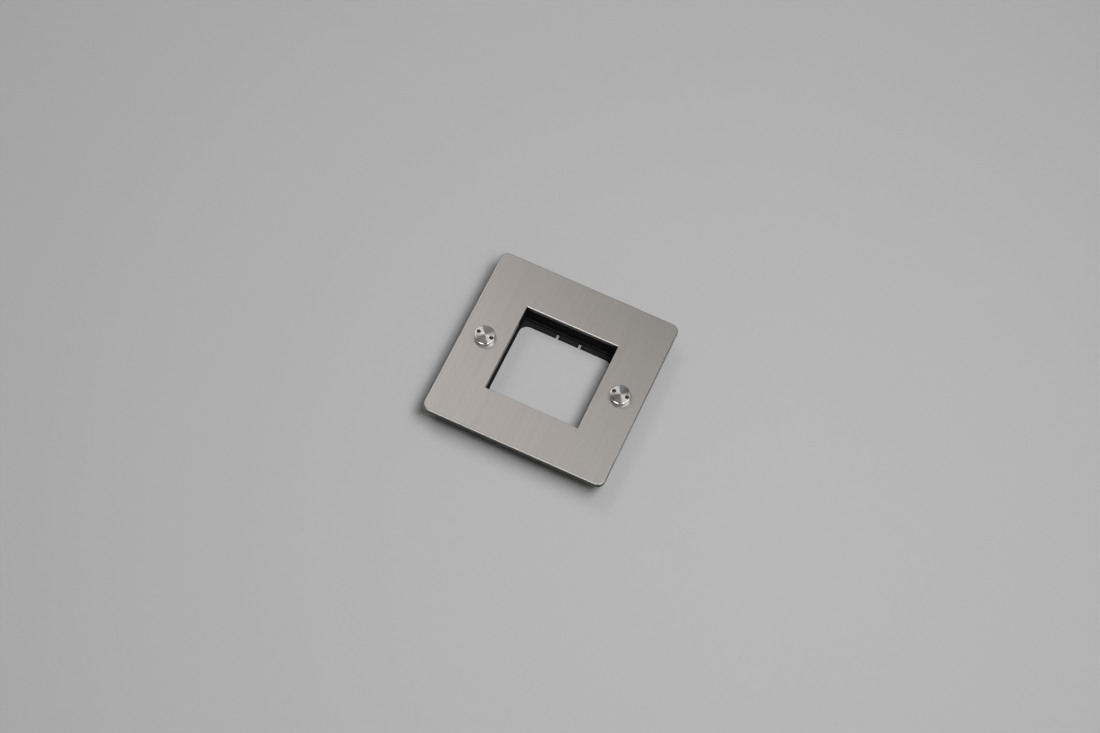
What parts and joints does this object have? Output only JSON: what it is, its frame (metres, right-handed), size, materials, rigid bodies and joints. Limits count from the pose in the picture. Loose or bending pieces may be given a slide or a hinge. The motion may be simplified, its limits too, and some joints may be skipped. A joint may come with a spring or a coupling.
{
  "type": "grid switch plate",
  "caption": "Square brushed metal faceplate with an open square aperture over a black moulded module frame, held on by two proud pin-hole screws, for switch modules in a wall box.",
  "frame": {"origin": "on the plane that the frame rests on, below the centre of the aperture", "axes": "+Z out of the plate's front, +X from the left screw to the right screw, +Y up the wall when it is fitted"},
  "size_m": [0.088, 0.088, 0.0151],
  "materials": {
    "plate_steel": "linear brushed",
    "frame_plastic": "fine moulded texture",
    "screw_steel": "turned",
    "terminal_brass": "machined",
    "clamp_steel": "zinc plated"
  },
  "bodies": {
    "plate": {"faceplate": "plate_steel", "grid_frame": "frame_plastic", "left_insert": "terminal_brass", "right_insert": "terminal_brass", "earth_terminal": "terminal_brass"},
    "left_screw": {"left_screw": "screw_steel"},
    "right_screw": {"right_screw": "screw_steel"},
    "earth_screw": {"earth_screw": "clamp_steel"}
  },
  "joints": [
    {"name": "left_screw_turn", "type": "hinge", "parent": "plate", "child": "left_screw", "pos_m": [-0.0333, 0, 0.0126], "axis": [0, 0, 1], "continuous": true},
    {"name": "right_screw_turn", "type": "hinge", "parent": "plate", "child": "right_screw", "pos_m": [0.0333, 0, 0.0126], "axis": [0, 0, 1], "continuous": true},
    {"name": "earth_screw_turn", "type": "hinge", "parent": "plate", "child": "earth_screw", "pos_m": [0.0285, -0.0285, 0.0041], "axis": [0, 0, 1], "continuous": true}
  ]
}
